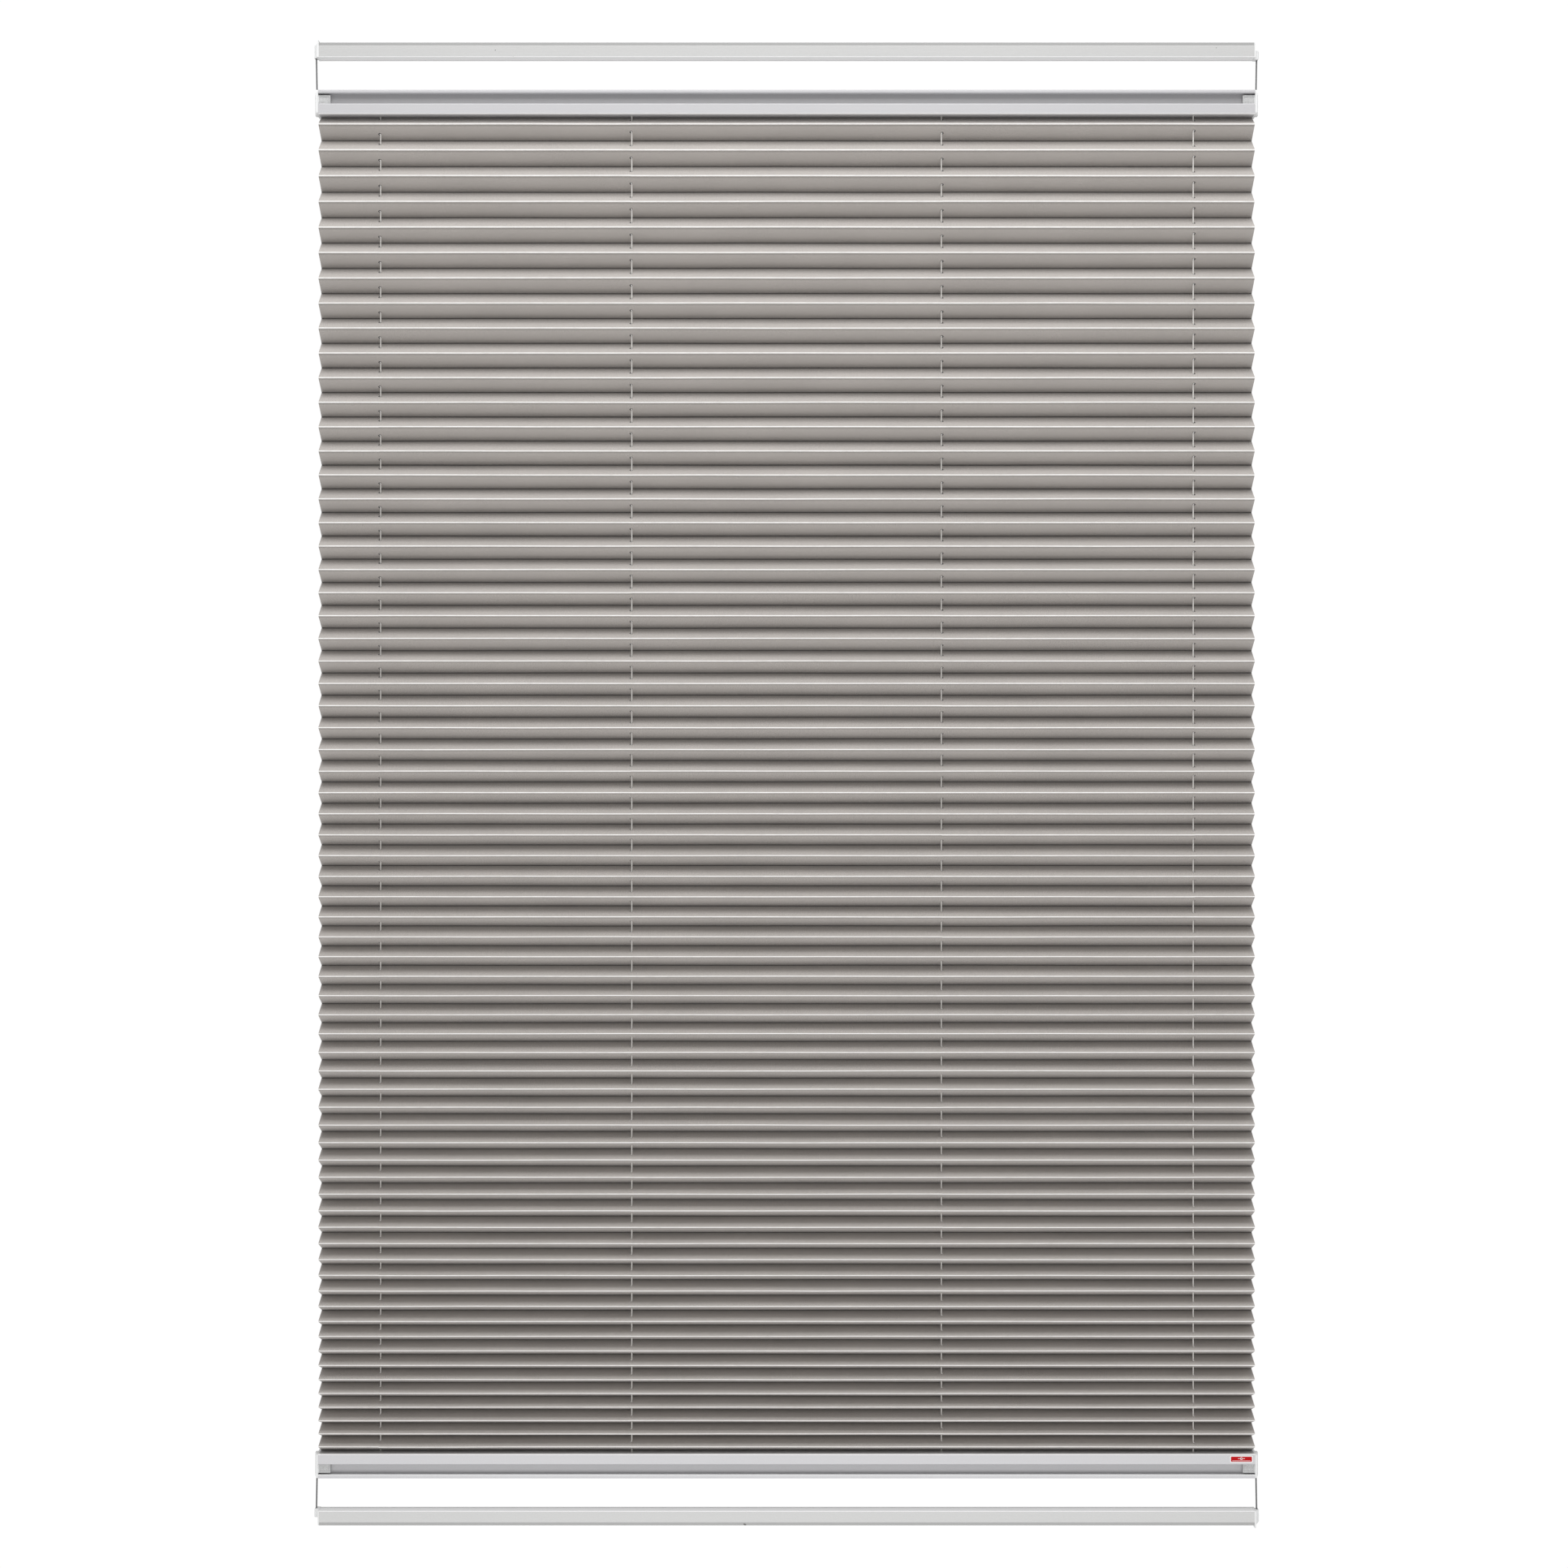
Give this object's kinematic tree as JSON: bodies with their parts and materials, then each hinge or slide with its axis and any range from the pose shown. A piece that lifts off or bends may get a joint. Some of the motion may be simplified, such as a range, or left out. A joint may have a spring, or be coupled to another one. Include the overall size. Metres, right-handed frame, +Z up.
{
  "type": "pleated blind",
  "caption": "Pleated blind on tension cords: cloth between two handle rails that slide between a fixed top rail and a fixed bottom rail.",
  "frame": {"origin": "middle of the top rail's mounting face", "axes": "+Z up, the blind hangs down along -Z; the front with the finger grooves faces -Y; +X runs along the rails to the right seen from the front"},
  "size_m": [0.8288, 0.0221, 1.3044],
  "materials": {
    "fixed_rail_aluminium": "satin anodised, slightly warm grey",
    "handle_rail_aluminium": "satin anodised",
    "cap_plastic": "light grey moulded plastic",
    "pleated_cloth": "warm grey crepe weave with pressed folds",
    "cord_thread": "fine braided polyester, grey",
    "spring_steel": "bright drawn wire",
    "inner_plastic": "plain white moulded plastic",
    "sticker_red": "red print with a white rim under a clear film"
  },
  "bodies": {
    "fixed_frame": {"bottom_cap_left": "cap_plastic", "bottom_cap_right": "cap_plastic", "bottom_rail": "fixed_rail_aluminium", "clamp_screw_left": "spring_steel", "clamp_screw_right": "spring_steel", "cord_clamp_left": "inner_plastic", "cord_clamp_right": "inner_plastic", "cord_left_inner": "cord_thread", "cord_left_outer": "cord_thread", "cord_right_inner": "cord_thread", "cord_right_outer": "cord_thread", "pleated_cloth": "pleated_cloth", "spring_anchor_left": "inner_plastic", "spring_anchor_right": "inner_plastic", "tension_slider_left": "inner_plastic", "tension_slider_right": "inner_plastic", "tension_spring_left": "spring_steel", "tension_spring_right": "spring_steel", "top_cap_left": "cap_plastic", "top_cap_right": "cap_plastic", "top_rail": "fixed_rail_aluminium"},
    "upper_handle": {"upper_cap_left": "cap_plastic", "upper_cap_right": "cap_plastic", "upper_cloth_strip": "inner_plastic", "upper_guide_left_inner": "inner_plastic", "upper_guide_left_outer": "inner_plastic", "upper_guide_right_inner": "inner_plastic", "upper_guide_right_outer": "inner_plastic", "upper_handle_rail": "handle_rail_aluminium"},
    "lower_handle": {"lower_cap_left": "cap_plastic", "lower_cap_right": "cap_plastic", "lower_cloth_strip": "inner_plastic", "lower_guide_left_inner": "inner_plastic", "lower_guide_left_outer": "inner_plastic", "lower_guide_right_inner": "inner_plastic", "lower_guide_right_outer": "inner_plastic", "lower_handle_rail": "handle_rail_aluminium", "label_sticker": "sticker_red"}
  },
  "joints": [
    {"name": "upper_slide", "type": "slide", "parent": "fixed_frame", "child": "upper_handle", "axis": [0, 0, 1], "range_m": [-0.36, 0.027], "deforming": ["cord_left_inner", "cord_left_outer", "cord_right_inner", "cord_right_outer", "pleated_cloth"]},
    {"name": "lower_slide", "type": "slide", "parent": "fixed_frame", "child": "lower_handle", "axis": [0, 0, 1], "range_m": [-0.027, 0.36], "deforming": ["cord_left_inner", "cord_left_outer", "cord_right_inner", "cord_right_outer", "pleated_cloth"]}
  ]
}
